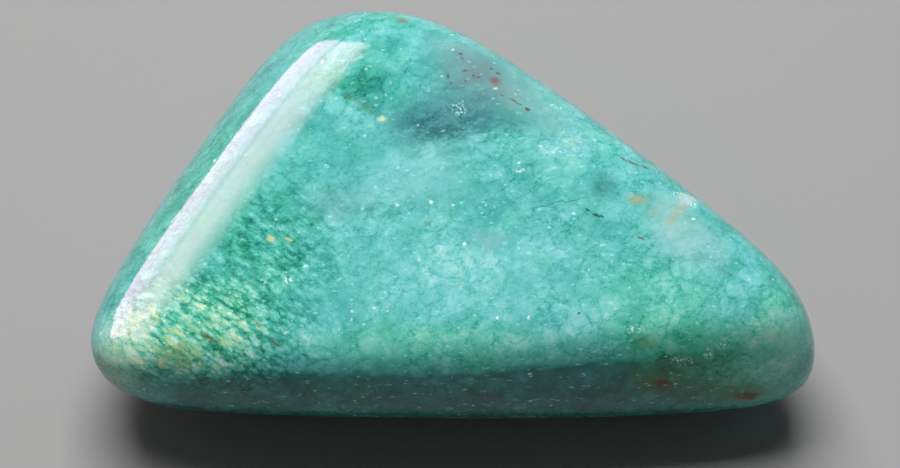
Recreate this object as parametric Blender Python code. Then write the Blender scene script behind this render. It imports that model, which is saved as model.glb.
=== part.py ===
"""A tumbled, polished pebble of green verdite, modelled as the tumbler shapes it.

The rough stone was first broken into a blunt three-cornered chunk. Grinding then gave it a few broad,
slightly crowned faces, and the polish wore every edge between them round. The model repeats that: each
face is a large sphere cap set at its own bearing, tilt and distance from the heart of the stone, and a
smooth maximum over all the caps wears the edges between them to one soft skin.
"""
import math

import bmesh
import bpy
import numpy as np

# Driving dimensions, in millimetres and degrees unless the name says otherwise
MM = 0.001
EDGE_WEAR = 0.98          # how far the polish has worn the edges back
CREASE_WEAR = 0.42        # the same for the crisper edge between the top and the front
CREASE_FACES = ("top", "front")
FLAT_DEPTH = 0.06         # height of the cap that the small resting flat cuts off the underside
GRID_LONG = 34            # strips of the starting box along the stone
GRID_WIDE = 28            # strips across it
GRID_HIGH = 20            # strips up its side
BOX_HALF = (16.5, 10.5, 5.0)   # half size of the box that the stone is ground from
SOLVE_STEPS = 40          # halvings when a point is pushed out to the skin
SOLVE_REACH = 30.0        # no point of the stone is further than this from its heart

STONE_GREEN = (0.12, 0.52, 0.42, 1.0)
POLISH_ROUGHNESS = 0.12
STONE_IOR = 1.55

# The ground faces. Bearing turns from +X towards +Y, tilt is up from the horizon, reach is the distance
# from the heart of the stone to the face, and crown is the radius of its slight bulge.
FACES = {
    "top":             dict(bearing=-93, tilt=83, reach=4.55, crown=380),
    "front":           dict(bearing=-87, tilt=30.5, reach=8.60, crown=150),
    "front_under":     dict(bearing=-91, tilt=-31, reach=8.50, crown=420),
    "left":            dict(bearing=149, tilt=32.5, reach=10.15, crown=240),
    "left_shoulder":   dict(bearing=152, tilt=60, reach=9.10, crown=115),
    "left_under":      dict(bearing=147, tilt=-36, reach=10.20, crown=215),
    "right":           dict(bearing=51, tilt=17, reach=7.95, crown=275),
    "right_under":     dict(bearing=50.5, tilt=-35, reach=8.20, crown=225),
    "back_tip":        dict(bearing=86, tilt=22.5, reach=10.35, crown=75),
    "back_under":      dict(bearing=92, tilt=-35, reach=11.00, crown=60),
    "left_tip":        dict(bearing=-132, tilt=7.5, reach=16.75, crown=80),
    "left_tip_under":  dict(bearing=-160, tilt=-35, reach=15.55, crown=70),
    "right_tip":       dict(bearing=8.5, tilt=12, reach=16.00, crown=100),
    "right_tip_under": dict(bearing=-25, tilt=-30, reach=18.70, crown=65),
    "underside":       dict(bearing=90, tilt=-89.3, reach=4.95, crown=90),
}


def clear_scene():
    """Remove every object, so that the file holds this part alone."""
    for thing in list(bpy.data.objects):
        bpy.data.objects.remove(thing, do_unlink=True)


def direction(bearing, tilt):
    """Unit vector for a bearing and a tilt in degrees."""
    around, up = math.radians(bearing), math.radians(tilt)
    return np.array([math.cos(around) * math.cos(up), math.sin(around) * math.cos(up), math.sin(up)])


def smooth_maximum(heights, wear):
    """The highest of several heights, eased over from one to the next where they are nearly equal."""
    heights = np.array(heights)
    highest = heights.max(axis=0)
    return highest + wear * np.log(np.exp((heights - highest) / wear).sum(axis=0))


def height_above_skin(points):
    """Smooth maximum of the points' heights above all the crowned faces: zero on the skin."""
    heights = {}
    for name, face in FACES.items():
        cap_centre = direction(face["bearing"], face["tilt"]) * (face["reach"] - face["crown"])
        heights[name] = np.linalg.norm(points - cap_centre, axis=1) - face["crown"]
    crease = smooth_maximum([heights.pop(name) for name in CREASE_FACES], CREASE_WEAR)
    return smooth_maximum([crease, *heights.values()], EDGE_WEAR)


def push_to_skin(rays):
    """Points on the stone's skin along rays from its heart, found by halving."""
    rays = rays / np.linalg.norm(rays, axis=1, keepdims=True)
    near = np.zeros(len(rays))
    far = np.full(len(rays), SOLVE_REACH)
    for _ in range(SOLVE_STEPS):
        middle = (near + far) / 2
        outside = height_above_skin(rays * middle[:, None]) > 0
        far = np.where(outside, middle, far)
        near = np.where(outside, near, middle)
    return rays * far[:, None]


def gridded_box():
    """A box whose sides are evenly spaced quads as seen from its heart."""
    box = bmesh.new()
    bmesh.ops.create_cube(box, size=2.0)
    for axis, strips in enumerate((GRID_LONG, GRID_WIDE, GRID_HIGH)):
        for number in range(1, strips):
            place = [0.0, 0.0, 0.0]
            normal = [0.0, 0.0, 0.0]
            place[axis] = math.tan(math.pi / 4 * (2 * number / strips - 1))
            normal[axis] = 1.0
            everything = box.verts[:] + box.edges[:] + box.faces[:]
            bmesh.ops.bisect_plane(box, geom=everything, plane_co=place, plane_no=normal, dist=1e-6)
    return box


def grind_stone(stone):
    """Move the box's corners out to the skin, cut the resting flat and set the origin under the middle."""
    corners = np.array([corner.co[:] for corner in stone.verts])
    skin = push_to_skin(corners * np.array(BOX_HALF))
    floor = skin[:, 2].min() + FLAT_DEPTH
    skin[:, 2] = np.maximum(skin[:, 2], floor)
    lowest, highest = skin.min(axis=0), skin.max(axis=0)
    middle = (lowest + highest) / 2
    skin -= np.array([middle[0], middle[1], floor])
    for corner, place in zip(stone.verts, skin * MM):
        corner.co = place.tolist()
    bmesh.ops.recalc_face_normals(stone, faces=stone.faces[:])


def polished_green():
    """The stone's plain material: bright green with a wet-looking polish."""
    finish = bpy.data.materials.new("polished_verdite")
    finish.use_nodes = True
    shader = finish.node_tree.nodes["Principled BSDF"]
    shader.inputs["Base Color"].default_value = STONE_GREEN
    shader.inputs["Roughness"].default_value = POLISH_ROUGHNESS
    shader.inputs["Metallic"].default_value = 0.0
    shader.inputs["IOR"].default_value = STONE_IOR
    finish.diffuse_color = STONE_GREEN
    return finish


def add_stone(collection):
    """The one solid: the tumbled stone."""
    shape = gridded_box()
    grind_stone(shape)
    mesh = bpy.data.meshes.new("tumbled_stone")
    shape.to_mesh(mesh)
    shape.free()
    mesh.shade_smooth()
    mesh.materials.append(polished_green())
    stone = bpy.data.objects.new("tumbled_stone", mesh)
    collection.objects.link(stone)
    return stone


def main():
    clear_scene()
    collection = bpy.data.collections.new("tumbled_verdite")
    bpy.context.scene.collection.children.link(collection)
    add_stone(collection)


main()
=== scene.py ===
# %% [markdown]
# # A tumbled verdite pebble
#
# Verdite is a green ornamental rock: fine chromium mica grown through quartz and clay minerals. This piece
# was broken off, tumbled with grit until its edges were round, and polished until it looks wet.
#
# The stone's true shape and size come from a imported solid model. These cells give it a finer skin, a
# material with the rock's grains, flakes, stains and sparkles, and soft studio light.

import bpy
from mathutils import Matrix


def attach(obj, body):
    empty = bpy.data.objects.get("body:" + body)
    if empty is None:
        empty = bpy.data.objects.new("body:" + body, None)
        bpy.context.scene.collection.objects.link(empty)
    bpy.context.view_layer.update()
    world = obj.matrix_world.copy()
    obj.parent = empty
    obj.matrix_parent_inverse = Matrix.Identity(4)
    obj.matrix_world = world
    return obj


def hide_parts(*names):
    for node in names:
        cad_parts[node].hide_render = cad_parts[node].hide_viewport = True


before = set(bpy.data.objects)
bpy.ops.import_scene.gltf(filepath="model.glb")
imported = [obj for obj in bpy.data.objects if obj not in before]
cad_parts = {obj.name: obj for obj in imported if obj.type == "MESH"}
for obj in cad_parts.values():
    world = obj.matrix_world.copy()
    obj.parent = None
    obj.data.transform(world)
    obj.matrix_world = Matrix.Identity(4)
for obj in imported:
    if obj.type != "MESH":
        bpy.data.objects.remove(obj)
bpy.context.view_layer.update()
stone_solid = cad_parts["tumbled_stone"]
print("the packed solid is", stone_solid.name)

# %% Tools and units
import math

import bmesh
import bpy
from mathutils import Matrix, Vector
from mathutils.bvhtree import BVHTree

MM = 0.001


# %% [markdown]
# ## The camera
#
# The photograph looks down on the stone from the front at about 62 degrees, close up and with a long lens,
# so lines hardly converge. A 190 mm lens 210 mm away gives that view. It goes in first, because marks on
# the stone can then be placed by where they are seen.

# %% Set up the camera
CAMERA_RISE = math.radians(62)
CAMERA_AWAY = 210 * MM
CAMERA_LENS = 190
CAMERA_AIM = Vector((-0.141, -1.188, 5.0)) * MM
NEAREST_SEEN = 10 * MM
SENSOR_WIDTH = 36
FRAME_WIDTH = 900
FRAME_HEIGHT = 468

camera_data = bpy.data.cameras.new("view")
camera_data.lens = CAMERA_LENS
camera_data.sensor_width = SENSOR_WIDTH
camera_data.sensor_fit = "HORIZONTAL"
camera_data.clip_start = NEAREST_SEEN
camera = bpy.data.objects.new("view", camera_data)
bpy.context.scene.collection.objects.link(camera)
camera_back = Vector((0, -math.cos(CAMERA_RISE), math.sin(CAMERA_RISE)))
camera.location = CAMERA_AIM + camera_back * CAMERA_AWAY
camera.rotation_euler = (math.pi / 2 - CAMERA_RISE, 0, 0)
bpy.context.scene.camera = camera
print("the camera stands at", [round(value, 3) for value in camera.location], "m")

# %% [markdown]
# ## Finding a place on the stone
#
# Stains and specks on a natural stone follow no rule, so each one is put where the photograph shows it. A
# mark's place is given as a pixel of the picture, across and down. A ray through that pixel finds the point
# of the solid under it, in millimetres, and from there on the mark belongs to the stone and not to the view.

# %% A ray from the camera to the stone
PIXEL_SLOPE = SENSOR_WIDTH / FRAME_WIDTH / CAMERA_LENS
PIXELS_PER_MM = MM / (PIXEL_SLOPE * CAMERA_AWAY)
CAMERA_RIGHT = Vector((1, 0, 0))
CAMERA_UP = Vector((0, math.sin(CAMERA_RISE), math.cos(CAMERA_RISE)))
solid_tree = BVHTree.FromObject(stone_solid, bpy.context.evaluated_depsgraph_get())


def on_stone(across, down):
    """The point of the solid, in millimetres, that is seen at a pixel of the photograph."""
    sideways = (across - FRAME_WIDTH / 2) * PIXEL_SLOPE * CAMERA_RIGHT
    downwards = (down - FRAME_HEIGHT / 2) * PIXEL_SLOPE * CAMERA_UP
    ray = sideways - downwards - camera_back
    return solid_tree.ray_cast(camera.location, ray.normalized())[0] / MM


middle_seen = on_stone(FRAME_WIDTH / 2, FRAME_HEIGHT / 2)
print("the middle of the picture shows the point", [round(value, 2) for value in middle_seen], "mm")

# %% [markdown]
# ## Arithmetic on sockets
#
# Shader maths is easier to read as plain expressions. The class below wraps one output socket. Adding,
# subtracting or multiplying two of them adds the Math node that does it, and `node` adds any other kind of
# node: its settings first, because they decide which sockets it has, then the sockets' values or links.

# %% A socket that can be added and multiplied
class Signal:
    """One output socket of a node, which Python arithmetic can use."""

    def __init__(self, socket):
        self.socket = socket
        self.tree = socket.id_data

    def node(self, kind, settings, sockets, output=0):
        """Add a node of any kind and return one of its outputs."""
        return add_node(self.tree, kind, settings, sockets, output)

    def also(self, output):
        """Another output of the same node."""
        return Signal(self.socket.node.outputs[output])

    def maths(self, operation, *values):
        """Add a Math node whose sockets are filled in order."""
        return self.node("ShaderNodeMath", {"operation": operation}, dict(enumerate(values)))

    def vector(self, operation, *values, output="Vector"):
        """Add a Vector Math node whose sockets are filled in order."""
        return self.node("ShaderNodeVectorMath", {"operation": operation}, dict(enumerate(values)), output)

    def scaled(self, factor):
        """This vector, made longer or shorter by a factor."""
        return self.node("ShaderNodeVectorMath", {"operation": "SCALE"}, {0: self, "Scale": factor})

    def __add__(self, other):
        return self.maths("ADD", self, other)

    def __sub__(self, other):
        return self.maths("SUBTRACT", self, other)

    def __mul__(self, other):
        return self.maths("MULTIPLY", self, other)

    def __rsub__(self, other):
        return self.maths("SUBTRACT", other, self)

    __radd__ = __add__
    __rmul__ = __mul__


def add_node(tree, kind, settings, sockets, output=0):
    """Add a node to a tree: its settings, then its sockets' values or links."""
    made = tree.nodes.new(kind)
    for name, value in settings.items():
        if name == "stops":
            set_stops(made.color_ramp.elements, value)
        else:
            setattr(made, name, value)
    for name, value in sockets.items():
        socket = made.inputs[name]
        if isinstance(value, Signal):
            tree.links.new(value.socket, socket)
        else:
            socket.default_value = value
    return Signal(made.outputs[output])


def set_stops(elements, stops):
    """Give a colour ramp its stops, from a dictionary of position and colour."""
    while len(elements) < len(stops):
        elements.new(0.5)
    for element, (position, colour) in zip(elements, stops.items()):
        element.position = position
        element.color = (*colour, 1)


# %% [markdown]
# ### Words for the recipe
#
# A few moves come back in every layer of the rock: a soft step from one level to another, one colour laid
# over another, noise, crystal grains, and coordinates that are pushed about or drawn out. Each gets a word
# of its own, so that the recipe further down reads like a recipe.

# %% Steps, tints and noise
# A Mix node has sockets for numbers, for vectors and for colours: these are the places of the last
MIX_AMOUNT, MIX_UNDER, MIX_OVER, MIX_COLOUR = 0, 6, 7, 2


def soft_step(signal, start, end, low=0.0, high=1.0):
    """Goes smoothly from low to high as the signal goes from start to end."""
    sockets = {"Value": signal, "From Min": start, "From Max": end, "To Min": low, "To Max": high}
    return signal.node("ShaderNodeMapRange", {"interpolation_type": "SMOOTHSTEP"}, sockets)


def tint(under, over, amount):
    """Lays one colour over another."""
    over = over if isinstance(over, Signal) else (*over, 1)
    sockets = {MIX_AMOUNT: amount, MIX_UNDER: under, MIX_OVER: over}
    return amount.node("ShaderNodeMix", {"data_type": "RGBA"}, sockets, MIX_COLOUR)


def cloud(where, scale, detail=2.0, roughness=0.5):
    """Soft noise, scale in lumps per millimetre."""
    sockets = {"Vector": where, "Scale": scale, "Detail": detail, "Roughness": roughness}
    return where.node("ShaderNodeTexNoise", {}, sockets)


def grains(where, scale):
    """Crystal grains per millimetre: the distance to a grain's heart, and two random shades of the grain."""
    heart = where.node("ShaderNodeTexVoronoi", {}, {"Vector": where, "Scale": scale})
    shade = heart.node("ShaderNodeSeparateColor", {}, {0: heart.also("Color")})
    return heart, shade, shade.also("Green")


# %% Coordinates that are pushed about or drawn out
def wobble(where, scale, reach, detail=2.0):
    """Coordinates pushed about by noise, so that what is drawn with them has a natural edge."""
    push = cloud(where, scale, detail=detail).also("Color")
    back = where.vector("ADD", where, (-reach,) * 3)
    return where.vector("MULTIPLY_ADD", push, (2 * reach,) * 3, back)


def turned(where, degrees):
    """Coordinates whose first axis points along a bearing on the stone's top."""
    sockets = {"Vector": where, "Angle": math.radians(-degrees)}
    return where.node("ShaderNodeVectorRotate", {"rotation_type": "Z_AXIS"}, sockets)


def drawn_out(where, degrees, sizes):
    """Coordinates that draw a pattern out along a bearing."""
    return where.vector("MULTIPLY", turned(where, degrees), [1 / size for size in sizes])


# %% [markdown]
# ## The skin
#
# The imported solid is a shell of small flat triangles. Polished rock shows every facet in its reflections,
# so the skin starts from a copy of the solid, joined back into four-sided faces and subdivided until it is
# smooth. The resting flat becomes one face again, so that it stays flat.

# %% A smooth copy of the solid
SKIN_LEVELS = 2
WELD = 1e-6
FLAT_LEVEL = 1e-6
MOST_FOLD = math.radians(40)
MOST_SKEW = math.radians(70)

skin_mesh = stone_solid.data.copy()
skin_mesh.name = "stone_skin"
shell = bmesh.new()
shell.from_mesh(skin_mesh)
bmesh.ops.remove_doubles(shell, verts=shell.verts[:], dist=WELD)
resting = [face for face in shell.faces if max(corner.co.z for corner in face.verts) < FLAT_LEVEL]
bmesh.ops.dissolve_faces(shell, faces=resting)
triangles = [face for face in shell.faces if len(face.verts) == 3]
bmesh.ops.join_triangles(
    shell, faces=triangles, angle_face_threshold=MOST_FOLD, angle_shape_threshold=MOST_SKEW)
bmesh.ops.recalc_face_normals(shell, faces=shell.faces[:])
shell.to_mesh(skin_mesh)
four_sided = sum(len(face.verts) == 4 for face in shell.faces)
print("the skin's cage has", len(shell.faces), "faces,", four_sided, "of them four-sided")
shell.free()

skin_cage = bpy.data.objects.new("skin_cage", skin_mesh)
bpy.context.scene.collection.objects.link(skin_cage)
smoothing = skin_cage.modifiers.new("smooth", "SUBSURF")
smoothing.levels = SKIN_LEVELS
smoothing.render_levels = SKIN_LEVELS

# %% [markdown]
# ### Wear
#
# Tumbling leaves slow waves of some hundredths of a millimetre, because the rock's bands wear at different
# speeds, and here and there a shallow pit. Along the left shoulder it has worn a faint hollow, which draws
# a reflected window out into a straight band. All of this follows a rule, so a small Geometry Nodes tree
# makes it, with the sizes as its inputs. It only ever goes inwards, so that the stone keeps its measured
# size, and it leaves the resting flat alone.

# %% The sizes of the wear
WEAR_SIZES = {
    "Wave depth": 0.03 * MM, "Wave spacing": 3.5 * MM, "Pit depth": 0.012 * MM, "Pit spacing": 1.1 * MM,
    "Hollow depth": 0.085 * MM, "Seed": 4.0,
}
PIT_LEVELS = (0.64, 0.76)
HOLLOW_BEARING = math.radians(149)
HOLLOW_OUTER_EDGE = (10.6 * MM, 8.4 * MM)
HOLLOW_INNER_EDGE = (-3.0 * MM, 7.6 * MM)
HOLLOW_LOWER_EDGE = (4.5 * MM, 5.5 * MM)
LOWEST_WEAR = 0.1 * MM
deepest = sum(size for name, size in WEAR_SIZES.items() if name.endswith("depth"))
print("the wear goes at most", round(deepest / MM, 3), "mm deep")


# %% The tree that wears the skin
def wear_noise(place, spacing, seed, detail):
    """Noise with a spacing in metres and a seed."""
    sockets = {"Vector": place, "W": seed, "Scale": place.maths("DIVIDE", 1.0, spacing), "Detail": detail}
    return place.node("ShaderNodeTexNoise", {"noise_dimensions": "4D"}, sockets)


def shoulder_hollow(place, height):
    """Where the faint hollow along the left shoulder lies: 1 in its middle, 0 outside."""
    left = (math.cos(HOLLOW_BEARING), math.sin(HOLLOW_BEARING), 0)
    leftwards = place.vector("DOT_PRODUCT", place, left, output="Value")
    across = soft_step(leftwards, *HOLLOW_OUTER_EDGE) * soft_step(leftwards, *HOLLOW_INNER_EDGE)
    return across * soft_step(height, *HOLLOW_LOWER_EDGE)


def wear_tree(finish):
    """Waves, pits and the hollow left by tumbling, with their sizes as inputs of the tree."""
    tree = bpy.data.node_groups.new("tumble_wear", "GeometryNodeTree")
    tree.interface.new_socket("Stone", in_out="INPUT", socket_type="NodeSocketGeometry")
    for name in WEAR_SIZES:
        tree.interface.new_socket(name, in_out="INPUT", socket_type="NodeSocketFloat")
    tree.interface.new_socket("Stone", in_out="OUTPUT", socket_type="NodeSocketGeometry")

    inlet = tree.nodes.new("NodeGroupInput")
    given = {socket.name: Signal(socket) for socket in inlet.outputs if socket.name}
    place = add_node(tree, "GeometryNodeInputPosition", {}, {})
    normal = add_node(tree, "GeometryNodeInputNormal", {}, {})
    height = place.node("ShaderNodeSeparateXYZ", {}, {0: place}, "Z")
    wave = wear_noise(place, given["Wave spacing"], given["Seed"], detail=1.0)
    pit = soft_step(wear_noise(place, given["Pit spacing"], given["Seed"], detail=2.0), *PIT_LEVELS)
    inwards = wave * given["Wave depth"] + pit * given["Pit depth"]
    inwards = inwards + shoulder_hollow(place, height) * given["Hollow depth"]
    push = normal.scaled(0 - inwards)
    off_the_flat = height.node(
        "FunctionNodeCompare", {"operation": "GREATER_THAN"}, {0: height, 1: LOWEST_WEAR})
    sockets = {"Geometry": given["Stone"], "Selection": off_the_flat, "Offset": push}
    worn = place.node("GeometryNodeSetPosition", {}, sockets)
    smooth = worn.node("GeometryNodeSetShadeSmooth", {}, {"Geometry": worn})
    real = smooth.node("GeometryNodeRealizeInstances", {}, {"Geometry": smooth})
    dressed = real.node("GeometryNodeSetMaterial", {}, {"Geometry": real, "Material": finish})
    outlet = tree.nodes.new("NodeGroupOutput")
    tree.links.new(dressed.socket, outlet.inputs["Stone"])
    return tree


# %% [markdown]
# ## The rock
#
# The stone's look is its material. One Principled shader carries it: a colour built up in layers, a gloss
# that breaks a little on the flakes, and a faint bump. All patterns read the object's own coordinates in
# millimetres, so they are solid, like the rock: they run through the stone and meet on all its sides.
# Noise pushes the coordinates about before anything is drawn with them, far for the edges of patches and
# a little for small marks, so that nothing has a ruled edge.

# %% Start the material
rock = bpy.data.materials.new("polished_verdite")
rock.use_nodes = True
rock_tree = rock.node_tree
polish = rock_tree.nodes["Principled BSDF"]
place = add_node(rock_tree, "ShaderNodeTexCoord", {}, {}, "Object").scaled(1 / MM)
rough_edge = wobble(place, scale=0.9, reach=0.45, detail=3.0)
fine_edge = wobble(place, scale=5.0, reach=0.08, detail=1.0)
print("the material is", rock.name)

# %% [markdown]
# ### Marks in the rock
#
# A mark is a soft ball of another tone or colour in the rock, stretched and turned as the photograph shows
# it. It is written as its pixel, its half width and half height in pixels, and its turn in degrees. How far
# a point lies from the middle, in parts of the mark's size, says how strongly the mark shows there.

# %% Nearness to a mark
MARK_DEPTH = 0.6
ZONE_DEPTH = 3.0
ZONE_EDGE = 1.15
turned_places = {}


def nearness(where, across, down, half_width, half_height, turn=0, depth=MARK_DEPTH):
    """How far a point is from a mark: 0 at its middle, 1 at its edge. The depth is in millimetres."""
    if turn and (where, turn) not in turned_places:
        turned_places[where, turn] = turned(where, turn)
    local = turned_places.get((where, turn), where)
    middle = Matrix.Rotation(math.radians(-turn), 3, "Z") @ on_stone(across, down)
    scale = [PIXELS_PER_MM / half_width, PIXELS_PER_MM / half_height, 1 / depth]
    offset = [-coordinate * factor for coordinate, factor in zip(middle, scale)]
    return local.vector("LENGTH", local.vector("MULTIPLY_ADD", local, scale, offset), output="Value")


def nearest_mark(where, marks, turn=0, depth=MARK_DEPTH):
    """How far a point is from the nearest of several marks."""
    reaches = [nearness(where, *mark, turn, depth) for mark in marks]
    nearest = reaches[0]
    for reach in reaches[1:]:
        nearest = nearest.maths("MINIMUM", nearest, reach)
    return nearest


def zone(across, down, half_width, half_height, turn=0, core=0.2):
    """A patch of the rock with a soft edge, whole inside its core."""
    reach = nearness(rough_edge, across, down, half_width, half_height, turn, ZONE_DEPTH)
    return soft_step(reach, ZONE_EDGE, core)


print("a millimetre of the stone is", round(PIXELS_PER_MM, 1), "pixels wide")

# %% [markdown]
# ### Light and dark
#
# All the greens of the rock lie on one scale, from a deep bottle green over sea green to milky aqua. So most
# of the pattern is one number, the tone, and each layer only adds to it or takes from it. Large clouds come
# first, and soft zones push the tone the way it goes on this stone; one of them, above the front, is painted
# light. The last number of a zone is its push.

# %% Broad tone
MIDDLE_TONE = 0.56
CLOUD_CONTRAST = 0.42
CLOUD_SHIFT = (3.0, 7.0, 1.0)
TONE_ZONES = {
    "pale cloud": (565, 150, 52, 50, 0, 0.08),
    "right patch": (700, 232, 50, 40, -20, -0.01),
    "upper middle": (415, 172, 66, 36, 10, 0.08),
    "middle": (478, 275, 135, 65, 0, 0.11),
    "left field": (268, 240, 62, 82, 0, -0.07),
    "under the band": (318, 130, 34, 60, -25, -0.03),
    "upper left": (366, 84, 38, 28, 0, -0.22),
    "left edge": (190, 188, 165, 26, 57, -0.05),
    "flaky corner": (200, 322, 100, 60, -10, 0.13),
    "low corner": (150, 368, 72, 28, 0, 0.24),
    "low right": (640, 306, 90, 34, 10, 0.04),
    "right end": (782, 345, 40, 46, 0, 0.14),
    "right end, upper": (772, 332, 34, 26, 0, 0.06),
    "left tip": (112, 337, 38, 40, 0, 0.23),
    "back tip": (368, 36, 44, 13, 20, 0.07),
    "right shoulder": (700, 290, 60, 34, -30, 0.03),
    "dusky middle": (535, 188, 50, 26, -20, -0.05),
    # Painted light: the tone is lifted just above the front edge, so that the top stays bright right up to
    # where it rolls over.
    "painted light above the front": (430, 344, 130, 14, 0, 0.12),
    "flank, right end": (735, 374, 85, 30, 0, 0.08),
}
broad = cloud(place.vector("ADD", rough_edge, CLOUD_SHIFT), scale=0.30, detail=4.0, roughness=0.6)
tone = MIDDLE_TONE + (broad - 0.5) * CLOUD_CONTRAST
for *mark, push in TONE_ZONES.values():
    tone = tone + zone(*mark) * push
print("broad tone:", len(TONE_ZONES), "zones")

# %% [markdown]
# ### Crystal grains
#
# Close up the rock is a mosaic of cloudy grains up to a millimetre wide. A Voronoi texture gives each its
# heart: the tone falls a little from there to the rim, and each grain has a shade of its own. A smaller set
# fills the gaps. Between some grains green mica shows as a broken, dotted seam. The distance to the edge of
# a Voronoi cell draws the seams, and a fine speckle breaks them up.

# %% Grains in two sizes
BIG_GRAINS = 1.15
SMALL_GRAINS = 3.6
SPECKLES = 8.5


def grain_tone(heart, shade, rim, core, spread, middle=0.5):
    """What a grain adds to the tone. Rim and core are each a distance from its heart and a tone there."""
    rim_distance, rim_tone = rim
    core_distance, core_tone = core
    return soft_step(heart, rim_distance, core_distance, rim_tone, core_tone) + (shade - middle) * spread


big_heart, big_shade, big_kind = grains(wobble(place, scale=1.6, reach=0.34, detail=3.0), BIG_GRAINS)
small_heart, small_shade, _ = grains(fine_edge, SMALL_GRAINS)
speckle = cloud(place, SPECKLES, detail=2.0, roughness=0.75)
tone = tone + grain_tone(big_heart, big_shade, (0.70, -0.025), (0.15, 0.035), spread=0.11)
tone = tone + grain_tone(small_heart, small_shade, (0.75, -0.025), (0.10, 0.025), spread=0.05)
print("grains:", BIG_GRAINS, "and", SMALL_GRAINS, "per millimetre")

# %% Seams of green mica
SEAM_CELLS = 1.25
SEAM_WIDTH = 0.17
SEAM_DARKNESS = 0.18
seam_place = wobble(place, scale=1.8, reach=0.34, detail=4.0)
seam_gap = seam_place.node(
    "ShaderNodeTexVoronoi", {"feature": "DISTANCE_TO_EDGE"}, {"Vector": seam_place, "Scale": SEAM_CELLS})
seam = soft_step(seam_gap, SEAM_WIDTH, 0.0) * soft_step(speckle + broad * 0.5, 0.68, 0.88)
tone = tone - seam * SEAM_DARKNESS
print("seams:", SEAM_CELLS, "per millimetre")

# %% [markdown]
# ### Wisps
#
# Between the grains run thin fibres, some dark and some milky. A thin line is where a noise crosses one
# level, so the distance of the noise from that level draws it.

# %% Fibres
FIBRE_BEARING = 28
DARK_LEVEL = 0.47
PALE_LEVEL = 0.57
DARK_WIDTH = 0.020
PALE_WIDTH = 0.030
DARK_BY = 0.12
FIBRE_CONTRAST = 0.20
STREAKED_CLOUD = (560, 145, 50, 60)
fibre_place = drawn_out(rough_edge, FIBRE_BEARING, sizes=(2.2, 1.0, 1.0))
fibre = cloud(fibre_place, scale=0.95, detail=4.0, roughness=0.62)
dark_wisp = soft_step(fibre.maths("ABSOLUTE", fibre - DARK_LEVEL), DARK_WIDTH, 0.0)
dark_wisp = dark_wisp * soft_step(broad, 0.40, 0.60)
pale_wisp = soft_step(fibre.maths("ABSOLUTE", fibre - PALE_LEVEL), PALE_WIDTH, 0.0)
pale_by = zone(*STREAKED_CLOUD) * 0.10 + 0.06
tone = tone - dark_wisp * DARK_BY + pale_wisp * pale_by + (fibre - 0.5) * FIBRE_CONTRAST
print("wisps run at", FIBRE_BEARING, "degrees")

# %% [markdown]
# ### Flakes
#
# Mica grows in thin plates that lie more or less parallel. Where the polish cuts them, on the lower left
# and in the left field, they show as short slanting streaks with dark gaps. Grains drawn out along the
# layers make these plates: large ones and small chips.

# %% Mica plates
FLAKE_BEARING = -38
FLAKY_CORNER = (185, 325, 150, 82)
FLAKY_FIELD = (272, 245, 90, 85)
FIELD_STRENGTH = 0.58
PLATES = 2.9
CHIPS = 5.4
PLATE_LIFT = 0.04
flaky = zone(*FLAKY_CORNER, core=0.4)
flaky = flaky.maths("MAXIMUM", flaky, zone(*FLAKY_FIELD) * FIELD_STRENGTH)
tone = tone + (speckle - 0.5) * soft_step(flaky, 0.0, 1.0, 0.16, 0.50)
plate_place = drawn_out(fine_edge, FLAKE_BEARING, sizes=(2.2, 0.75, 0.9))
chip_place = drawn_out(fine_edge, FLAKE_BEARING, sizes=(2.0, 0.75, 0.8))
plate_heart, plate_shade, plate_kind = grains(plate_place, PLATES)
chip_heart, chip_shade, chip_kind = grains(chip_place, CHIPS)
plates = grain_tone(plate_heart, plate_shade, (0.62, -0.17), (0.20, 0.07), spread=0.26, middle=0.45)
chips = grain_tone(chip_heart, chip_shade, (0.70, -0.10), (0.20, 0.04), spread=0.28, middle=0.45)
tone = tone + (plates + chips + PLATE_LIFT) * flaky
print("mica plates:", PLATES, "and", CHIPS, "per millimetre")

# %% [markdown]
# ### The edges
#
# Along the left edge the tone is evened out where the window is mirrored, as part of the painted reflection.
# Along the front the tone is darker: painted shade for the front face, which faces away from the light. It
# starts where the top rolls over into the front, follows that edge, and ends before the right tip.

# %% Even tone where the window is mirrored along the left edge
MIRRORED_BAND = (226, 196, 165, 27, 57)
MIRRORED_BAND_TONE = 0.47
MIRRORED_BAND_EVENING = 0.75
# Painted reflection: the tone is evened out here, and the white points and flecks below are left out, so the
# mirrored window reads as a clean band.
calm = zone(*MIRRORED_BAND, core=0.5) * MIRRORED_BAND_EVENING
tone = tone + (MIRRORED_BAND_TONE - tone) * calm
print("the calm band is around pixel", MIRRORED_BAND[:2])

# %% Painted shade along the front
FORWARDS_AND_DOWN = (0, -0.707, -0.707)
FRONT_SHADE_RANGE = (1.08, 1.58)
FRONT_SHADE_END = (9.0, 14.5)
CLIMB_TO_THE_RIGHT = 0.06
FRONT_SHADE_BY = 0.31
front_way = place.vector("DOT_PRODUCT", rough_edge, FORWARDS_AND_DOWN, output="Value")
rightwards = place.node("ShaderNodeSeparateXYZ", {}, {0: rough_edge}, "X")
front_way = front_way + rightwards.maths("MAXIMUM", rightwards, 0.0) * CLIMB_TO_THE_RIGHT
# This darkens the front as painted shade, because the front faces away from the light.
front = soft_step(front_way, *FRONT_SHADE_RANGE) * soft_step(rightwards, *FRONT_SHADE_END, 1.0, 0.10)
tone = tone - front * FRONT_SHADE_BY
print("the deep front ends", FRONT_SHADE_END[0], "to", FRONT_SHADE_END[1], "mm right of the middle")

# %% [markdown]
# ### From tone to colour
#
# Two ramps turn the tone into colour: one for the bluish rock of the middle, one for the greener rock at
# the ends. Where the rock is greener is again a matter of soft zones, and the last number of each says how
# much greener.

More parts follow.
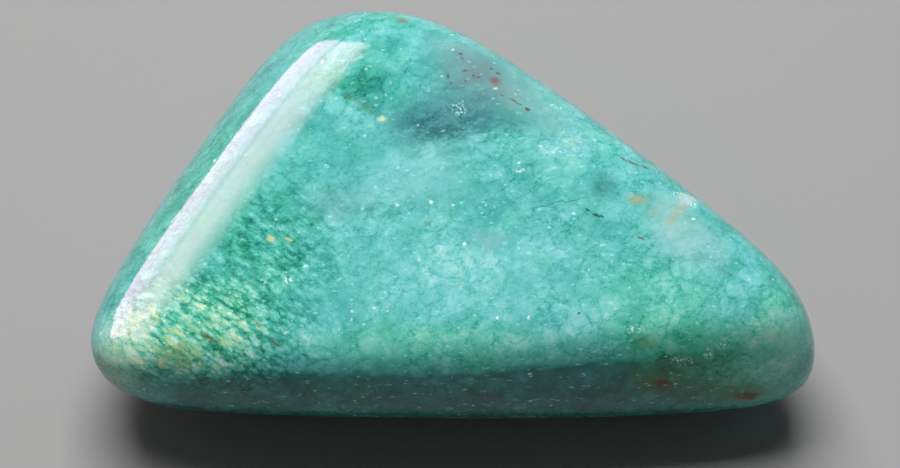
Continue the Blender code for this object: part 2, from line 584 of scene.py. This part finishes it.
# %% The two green ramps
BLUISH = {
    0.00: (0.003, 0.080, 0.072), 0.25: (0.018, 0.240, 0.215), 0.45: (0.075, 0.440, 0.405),
    0.60: (0.155, 0.565, 0.550), 0.70: (0.235, 0.640, 0.640), 0.80: (0.365, 0.725, 0.730),
    1.00: (0.720, 0.920, 0.920),
}
GREENISH = {
    0.00: (0.003, 0.065, 0.032), 0.25: (0.013, 0.240, 0.135), 0.45: (0.052, 0.440, 0.290),
    0.60: (0.125, 0.570, 0.425), 0.70: (0.215, 0.650, 0.500), 0.80: (0.380, 0.730, 0.570),
    1.00: (0.800, 0.920, 0.740),
}
bluish = tone.node("ShaderNodeValToRGB", {"stops": BLUISH}, {0: tone})
greenish = tone.node("ShaderNodeValToRGB", {"stops": GREENISH}, {0: tone})
print("the ramps have", len(BLUISH), "and", len(GREENISH), "stops")

# %% Where the rock is greener
GREEN_ZONES = {
    "left field": (255, 250, 95, 105, 0, 0.5),
    "lower left": (180, 335, 130, 70, 0, 0.9),
    "front right": (690, 348, 125, 34, 0, 1.0),
    "flank, right end": (740, 378, 90, 30, 0, 0.9),
    "right end": (785, 325, 45, 62, 0, 0.8),
    "back tip": (350, 26, 70, 20, 15, 0.5),
    "middle low": (440, 346, 150, 28, 0, 0.9),
    "low right": (650, 296, 90, 50, 0, 0.6),
    "upper left": (345, 75, 60, 45, 0, 0.4),
    "left edge": (190, 188, 165, 30, 57, 0.6),
}
GREENER_GRAINS = 0.30
greener = soft_step(big_kind, 0.55, 0.95) * GREENER_GRAINS
for *mark, amount in GREEN_ZONES.values():
    greener = greener + zone(*mark) * amount
greener = greener.maths("MINIMUM", greener, 1.0)
body = tint(bluish, greenish, greener)
print("greener rock:", len(GREEN_ZONES), "zones")

# %% [markdown]
# ### Yellow and olive mica
#
# Among the green plates of the lower left some are yellow green and some olive brown. The second random
# shade of each plate picks them: the yellow ones among the light plates, the olive ones among the dark.

# %% Other mica colours
YELLOW_FIELD = (185, 326, 118, 72, -10)
PALE_TIP = (112, 356, 36, 44, 20)
PALE_GREEN = (0.50, 0.80, 0.52)
YELLOW_GREEN = (0.38, 0.58, 0.15)
PALE_YELLOW = (0.50, 0.72, 0.40)
OLIVE = (0.09, 0.15, 0.025)
pale_tip = zone(*PALE_TIP) * soft_step(speckle + small_shade * 0.3, 0.45, 0.75, 0.10, 0.65)
yellow_field = zone(*YELLOW_FIELD)
light_plate = soft_step(tone, 0.42, 0.68) * yellow_field
dark_plate = soft_step(tone, 0.52, 0.30) * yellow_field
body = tint(body, PALE_GREEN, pale_tip)
body = tint(body, YELLOW_GREEN, soft_step(plate_kind, 0.55, 0.85) * light_plate * 0.52)
body = tint(body, PALE_YELLOW, soft_step(chip_kind, 0.50, 0.90) * light_plate * 0.50)
body = tint(body, OLIVE, soft_step(chip_kind, 0.40, 0.15) * dark_plate * 0.50)
print("yellow field: around pixel", YELLOW_FIELD[:2])

# %% [markdown]
# ### Patches
#
# Near the back edge lies a smooth grey patch, and beside it a blue-grey one with dark streaks. Paler and
# duller patches lie here and there on the top. Each is a soft zone with a colour, and fibres or speckles
# break some of them up.

# %% Grey, blue and pale patches
streaky = soft_step(fibre + speckle * 0.6, 0.96, 0.70)
PATCHES = {
    "grey haze": ((0.215, 0.475, 0.455), (525, 98, 90, 36, -40), 0.0, 0.80),
    "grey at the back": ((0.240, 0.500, 0.500), (452, 46, 50, 22, -28), 0.0, 0.60),
    "grey patch": (
        (0.165, 0.270, 0.295), (478, 76, 62, 42, -30), 0.1, soft_step(fibre, 0.30, 0.55, 1.0, 0.70)),
    "blue edge": (
        (0.085, 0.245, 0.280), (460, 104, 50, 36, -20), 0.0, soft_step(fibre, 0.35, 0.62, 1.0, 0.55)),
    "blue patch": ((0.060, 0.215, 0.240), (434, 121, 56, 34, 5), 0.1, 0.70),
    "dark streaks": ((0.025, 0.145, 0.170), (444, 122, 66, 42, 5), 0.2, streaky * 0.90),
    "more dark streaks": ((0.060, 0.260, 0.250), (512, 120, 26, 18, 0), 0.2, streaky * 0.50),
    "dull left": ((0.150, 0.330, 0.360), (340, 203, 44, 24, 0), 0.3, 0.35),
    "dull middle": ((0.190, 0.430, 0.450), (488, 240, 26, 14, -15), 0.0, 0.60),
    "smudge": (
        (0.035, 0.210, 0.190), (603, 186, 22, 15, 35), 0.0, soft_step(speckle, 0.62, 0.40, 0.35, 0.85)),
    "olive corner": (
        (0.150, 0.240, 0.040), (172, 357, 26, 10, 0), 0.3, soft_step(speckle, 0.40, 0.60, 0.20, 0.65)),
    "pale edge": ((0.360, 0.610, 0.580), (668, 208, 34, 24, -40), 0.0, 0.55),
    "pale shoulder": (
        (0.390, 0.610, 0.610), (686, 238, 58, 36, -35), 0.1, soft_step(fibre, 0.36, 0.60, 0.25, 0.60)),
    "milky upper middle": ((0.270, 0.620, 0.650), (415, 180, 76, 44, 8), 0.0, 0.40),
}
for colour, mark, core, amount in PATCHES.values():
    body = tint(body, colour, zone(*mark, core=core) * amount)
print("patches:", len(PATCHES))

# %% [markdown]
# ### Stains and spots
#
# The grey patch is dotted with dark red iron oxide. Iron has also left rust brown spots and ochre streaks
# near the right edge and low on the front, and a few hair cracks cross the top. All the marks of one colour
# and turn are laid on together, each with its pixel and its half width and half height in pixels.


# %% A way to lay on spots
def spots(paint, colour, amount, marks, turn=0, feather=0.4, where=fine_edge, depth=MARK_DEPTH):
    """Small marks of one colour and turn, laid over the paint."""
    nearest = nearest_mark(where, marks, turn, depth)
    return tint(paint, colour, soft_step(nearest, 1 + feather, 1 - feather, 0.0, amount))


# %% Iron in the grey patch
RED_DOTS = [
    (461, 53, 1.7, 1.6), (463, 58, 0.9, 1.6), (448, 76, 1.1, 2.5), (465, 70, 2.2, 1.0), (474, 75, 1.3, 1.6),
    (478, 77, 1.6, 1.0), (491, 67, 1.4, 2.0), (498, 73, 1.6, 1.3), (451, 82, 1.0, 1.2), (465, 81, 1.0, 1.0),
]
RED_STREAK = [(502, 95, 2.2, 0.8), (513, 100, 4.0, 0.9), (519, 104, 3.4, 0.7), (527, 109, 2.8, 1.5)]
RED_SPOT = [(495, 80, 4.6, 4.0)]
CREAM_SPOTS = [(495, 88, 2.6, 1.4), (382, 118, 4.0, 2.4)]
body = spots(body, (0.110, 0.030, 0.040), 0.75, RED_DOTS, feather=0.9)
body = spots(body, (0.160, 0.030, 0.035), 0.80, RED_STREAK, turn=-30)
body = spots(body, (0.240, 0.075, 0.060), 0.70, RED_SPOT, feather=0.9)
body = spots(body, (0.700, 0.800, 0.450), 0.80, CREAM_SPOTS, feather=0.7)
print("iron dots:", len(RED_DOTS))

# %% Rust and ochre along the right edge and at the back
ORANGE_SPOT = [(637, 199, 8.0, 4.6)]
BACK_STAIN = [(402, 19, 5, 4)]
OCHRE_STREAKS = [(681, 208, 10.0, 4.2), (672, 220, 8.0, 3.0), (651, 212, 3.0, 2.0)]
RUST_LINES = [(624, 159, 4.5, 1.4), (634, 163, 6.0, 1.6), (645, 167, 3.5, 1.4), (641, 238, 4.0, 1.6)]
body = spots(body, (0.450, 0.380, 0.170), 0.62, ORANGE_SPOT, feather=0.9)
body = spots(body, (0.250, 0.150, 0.060), 0.70, BACK_STAIN, feather=0.95)
body = spots(body, (0.460, 0.400, 0.220), 0.58, OCHRE_STREAKS, turn=50, feather=0.95)
body = spots(body, (0.150, 0.085, 0.030), 0.75, RUST_LINES, turn=-28, feather=0.5)
print("rust lines:", len(RUST_LINES))

# %% Stains low on the front
OLIVE_HALOES = [(658, 382, 20, 6), (742, 395, 34, 6)]
RUST_CORES = [(663, 383, 7, 2.6), (750, 396, 20, 2.2)]
BROWN_SHADOW = [(690, 388, 60, 11)]
body = spots(body, (0.080, 0.160, 0.015), 0.70, OLIVE_HALOES, feather=0.95)
body = spots(body, (0.120, 0.034, 0.002), 0.95, RUST_CORES, feather=0.5, depth=0.35)
body = spots(body, (0.040, 0.070, 0.020), 0.40, BROWN_SHADOW, feather=0.8, where=rough_edge)
print("front stains:", len(RUST_CORES))

# %% Olive, green and yellow spots, and hair cracks
BROWN_PLATES = [(259, 324, 5, 2.0), (210, 337, 9, 2), (276, 342, 5, 1.6)]
OLIVE_SPOTS = [(428, 223, 3.2, 2.6), (348, 96, 3, 2), (645, 342, 12, 4)]
DARK_GREEN_SPOTS = [(364, 104, 13, 4), (348, 95, 5, 3)]
YELLOW_SPOTS = [(271, 238, 4.5, 3.0), (289, 239, 4.0, 1.8), (573, 144, 1.6, 2.4)]
BLACK_SPECKS = [(588, 210, 3.2, 0.9), (596, 215, 5.0, 1.5), (602, 216, 2.0, 1.0)]
HAIR_CRACKS = [(566, 200, 20, 0.9), (540, 208, 12, 0.8)]
BLACK_POINT = [(579, 313, 1.5, 1.3)]
body = spots(body, (0.160, 0.110, 0.030), 0.55, BROWN_PLATES, turn=-35, feather=0.9)
body = spots(body, (0.090, 0.230, 0.060), 0.50, OLIVE_SPOTS, feather=0.9)
body = spots(body, (0.060, 0.220, 0.120), 0.60, DARK_GREEN_SPOTS, turn=-40, feather=0.95)
body = spots(body, (0.600, 0.620, 0.220), 0.70, YELLOW_SPOTS, turn=-20)
body = spots(body, (0.020, 0.075, 0.060), 0.85, BLACK_SPECKS, turn=-25)
body = spots(body, (0.040, 0.230, 0.200), 0.65, HAIR_CRACKS, turn=12, where=rough_edge)
body = spots(body, (0.015, 0.060, 0.040), 0.80, BLACK_POINT)
print("hair cracks:", len(HAIR_CRACKS))

# %% [markdown]
# ### Sparkles
#
# Single mica plates near the surface flash white. Here that flash is a painted glint: white points in the
# rock's colour. They are tiny, a tenth or two of a millimetre, and they lie all over the top. Points
# scattered through the rock make them: only those that the surface happens to cut can be seen. Longer aqua
# flecks, also painted glints, lie between them, brightest low on the front, and some points lie together in
# little lacy groups.

# %% White mica points and aqua flecks, painted as glints
MICA_GLINT_WHITE = (0.74, 0.95, 0.93)
FLECK_GLINT_AQUA = (0.34, 0.93, 0.84)
MICA_POINTS = 2.1
FLECKS = 4.1
FLECK_BEARING = 3
LARGEST_POINT = 0.21
mica_place = wobble(place, scale=10.0, reach=0.10, detail=1.0)
mica_heart, mica_size, mica_kind = grains(mica_place, MICA_POINTS)
mica = soft_step(mica_heart - mica_size * mica_size * LARGEST_POINT, 0.05, -0.09) * (1 - calm)
# Painted glints: the mica's white flash is laid into the colour.
body = tint(body, MICA_GLINT_WHITE, mica * soft_step(mica_kind, 0.0, 0.95, 0.10, 0.85))
fleck_place = drawn_out(fine_edge, FLECK_BEARING, sizes=(2.0, 1.0, 0.6))
fleck_heart, _, fleck_kind = grains(fleck_place, FLECKS)
fleck_glint = soft_step(fleck_heart, 0.32, 0.06) * soft_step(fleck_kind + broad * 0.3, 0.62, 1.10)
low_down = soft_step(front_way, 0.2, 1.4)
# Painted glints again, stronger low on the front.
body = tint(body, FLECK_GLINT_AQUA, fleck_glint * soft_step(low_down, 0.0, 1.0, 0.55, 1.0) * (1 - calm))
print("sparkles:", MICA_POINTS, "and", FLECKS, "per millimetre")

# %% Lacy groups
LACE_WHITE = (0.62, 0.95, 0.92)
LACE = [
    (459, 109, 6, 6), (556, 107, 6, 3), (692, 202, 6, 7), (681, 195, 8, 4), (710, 353, 5, 3),
    (722, 346, 5, 3), (683, 361, 11, 2.5), (307, 265, 4, 2.5), (326, 165, 2.5, 2), (363, 206, 2.5, 2),
    (288, 279, 5, 4), (599, 244, 3.5, 2.5), (591, 270, 3, 3), (509, 235, 3, 3), (634, 328, 8, 3),
    (520, 170, 5, 3),
]
PALE_GLOW = [(688, 198, 14, 7)]
lace_holes = soft_step(speckle, 0.50, 0.62)
lace_reach = soft_step(nearest_mark(fine_edge, LACE), 1.5, 0.6)
body = tint(body, LACE_WHITE, lace_reach * lace_holes * 0.90)
body = spots(body, (0.620, 0.720, 0.740), 0.55, PALE_GLOW, turn=35, feather=0.6)
print("lacy groups:", len(LACE))

# %% [markdown]
# ### Polish
#
# The polish is even but not perfect: a touch rougher over the flaky part, glassy over the grains. The bump
# is only some thousandths of a millimetre high, enough to make a reflected window edge look lifelike. It
# has a noise of its own, because a bump works out its height three times over.

# %% Gloss and bump
GLASSY = 0.07
ROUGHER_ON_FLAKES = 0.03
ROUGHER_ON_SPECKLES = 0.05
BUMP_HEIGHT = 0.012 * MM
BUMP_STRENGTH = 0.35
STONE_IOR = 1.56
gloss = GLASSY + flaky * ROUGHER_ON_FLAKES + soft_step(speckle, 0.45, 0.75) * ROUGHER_ON_SPECKLES
relief = cloud(place, scale=2.4, detail=2.0, roughness=0.6)
bump_sockets = {"Strength": BUMP_STRENGTH, "Distance": BUMP_HEIGHT, "Height": relief}
bump = relief.node("ShaderNodeBump", {}, bump_sockets)
for name, signal in {"Base Color": body, "Roughness": gloss, "Normal": bump}.items():
    rock_tree.links.new(signal.socket, polish.inputs[name])
polish.inputs["IOR"].default_value = STONE_IOR
print("the rock's recipe has", len(rock_tree.nodes), "nodes")

# %% [markdown]
# ## Put the skin on
#
# The tree's inputs are set by the identifiers of its sockets before the object is first evaluated. The
# result is taken as a plain mesh, so no modifier is left on the finished piece.

# %% Wear the skin and make it the stone
wearing = skin_cage.modifiers.new("tumble_wear", "NODES")
wearing.node_group = wear_tree(rock)
for socket in wearing.node_group.interface.items_tree:
    if socket.in_out == "INPUT" and socket.name in WEAR_SIZES:
        wearing[socket.identifier] = WEAR_SIZES[socket.name]
graph = bpy.context.evaluated_depsgraph_get()
stone_mesh = bpy.data.meshes.new_from_object(skin_cage.evaluated_get(graph), depsgraph=graph)
bpy.data.objects.remove(skin_cage)
stone_mesh.name = "polished_stone"
stone = bpy.data.objects.new("polished_stone", stone_mesh)
bpy.context.scene.collection.objects.link(stone)
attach(stone, "root")
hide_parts("tumbled_stone")
print("the skin has", len(stone_mesh.polygons), "faces")

# %% [markdown]
# ## Floor and light
#
# The stage is a plain pale floor under the stone.

# %% The floor
FLOOR_HALF = 1.5
FLOOR_COLOUR = (0.35, 0.35, 0.347, 1)
FLOOR_ROUGHNESS = 0.9
FLOOR_SHINE = 0.1
floor_mesh = bpy.data.meshes.new("floor")
floor_shape = bmesh.new()
bmesh.ops.create_grid(floor_shape, x_segments=1, y_segments=1, size=FLOOR_HALF)
floor_shape.to_mesh(floor_mesh)
floor_shape.free()
floor = bpy.data.objects.new("floor", floor_mesh)
bpy.context.scene.collection.objects.link(floor)
paper = bpy.data.materials.new("pale_paper")
paper.use_nodes = True
paper_shader = paper.node_tree.nodes["Principled BSDF"]
paper_shader.inputs["Base Color"].default_value = FLOOR_COLOUR
paper_shader.inputs["Roughness"].default_value = FLOOR_ROUGHNESS
paper_shader.inputs["Specular IOR Level"].default_value = FLOOR_SHINE
floor_mesh.materials.append(paper)
print("the floor is", 2 * FLOOR_HALF, "m wide")

# %% [markdown]
# ### Soft boxes
#
# The photograph was lit by one window, low behind the stone on its left. Polished stone mirrors it as a
# white band with a cream band beside it. Here two low soft boxes with a rosy light make the white band,
# because the stone adds its own green to what it mirrors. A stair of narrow cards above them makes the
# cream band: where each card starts shapes the band's pointed end. These boxes are only mirrored. One
# large soft box, which isn't mirrored, lights the stone from above.


# %% A soft box seen from the stone
def direction(bearing, rise):
    """Unit vector for a bearing from +X towards +Y and a rise above the floor, in degrees."""
    around, up = math.radians(bearing), math.radians(rise)
    return Vector((math.cos(around) * math.cos(up), math.sin(around) * math.cos(up), math.sin(up)))


STONE_HEART = Vector((0, 0, 5 * MM))


def softbox(name, bearings, rises, away, radiance, colour=(1, 1, 1), diffuse=True, glossy=True, roll=0):
    """A rectangular light that fills the given bearings and rises, seen from the stone."""
    bearing, rise = sum(bearings) / 2, sum(rises) / 2
    half_width, half_height = (math.radians(end - start) / 2 for start, end in (bearings, rises))
    lamp = bpy.data.lights.new(name, "AREA")
    lamp.shape = "RECTANGLE"
    lamp.size = 2 * away * math.tan(half_width) * math.cos(math.radians(rise))
    lamp.size_y = 2 * away * math.tan(half_height)
    lamp.energy = radiance * math.pi * lamp.size * lamp.size_y
    lamp.color = colour
    box = bpy.data.objects.new(name, lamp)
    aim = direction(bearing, rise)
    box.location = aim * away + STONE_HEART
    facing = aim.to_track_quat("Z", "Y").to_matrix() @ Matrix.Rotation(math.radians(roll), 3, "Z")
    box.rotation_euler = facing.to_euler()
    box.visible_diffuse = diffuse
    box.visible_glossy = glossy
    bpy.context.scene.collection.objects.link(box)


# %% The window, the cards and the large box
ROSE = (1.0, 0.50, 0.72)
WARM = (1.0, 0.54, 0.58)
BAND_AWAY = 0.2
WINDOW_STRENGTH = 8.6
WINDOW_ROLL = 6
CORNER_BEARING = 150
WINDOWS = {
    "window": ((118, CORNER_BEARING), (-1.3, 20)),
    "window_corner": ((CORNER_BEARING, 169), (3.5, 24)),
}
for name, (bearings, rises) in WINDOWS.items():
    softbox(name, bearings, rises, BAND_AWAY, WINDOW_STRENGTH, ROSE, diffuse=False, roll=WINDOW_ROLL)

WARM_CARDS = {
    (20, 25): (117, 6.2), (25, 35): (115, 8.3), (35, 42): (111, 8.3), (42, 46): (109, 6.8),
    (46, 50): (112, 5.0), (50, 54): (118, 2.8), (54, 57): (126, 1.2),
}
for (low, high), (start, strength) in WARM_CARDS.items():
    softbox(
        f"warm_card_{low}", (start, CORNER_BEARING), (low, high), BAND_AWAY, strength, WARM,
        diffuse=False, roll=WINDOW_ROLL)

CORNER_CARDS = {(24, 35): (175, 7.8), (35, 42): (182, 7.8), (42, 47): (188, 6.4), (47, 52): (188, 3.6)}
for (low, high), (end, strength) in CORNER_CARDS.items():
    softbox(
        f"corner_card_{low}", (CORNER_BEARING, end), (low, high), BAND_AWAY, strength, WARM,
        diffuse=False)

LARGE_BOX_BEARINGS = (60, 140)
LARGE_BOX_RISES = (47, 83)
LARGE_BOX_AWAY = 0.35
LARGE_BOX_STRENGTH = 9.6
softbox("key", LARGE_BOX_BEARINGS, LARGE_BOX_RISES, LARGE_BOX_AWAY, LARGE_BOX_STRENGTH, glossy=False)
print("soft boxes:", len(WINDOWS) + len(WARM_CARDS) + len(CORNER_CARDS) + 1)

# %% The light of the room
ROOM_STRENGTH = 0.08
world = bpy.data.worlds.new("room")
world.use_nodes = True
room = world.node_tree.nodes["Background"]
room.inputs["Color"].default_value = (1, 1, 1, 1)
room.inputs["Strength"].default_value = ROOM_STRENGTH
bpy.context.scene.world = world
bpy.context.scene.view_settings.view_transform = "Standard"
print("the room adds light of strength", ROOM_STRENGTH)
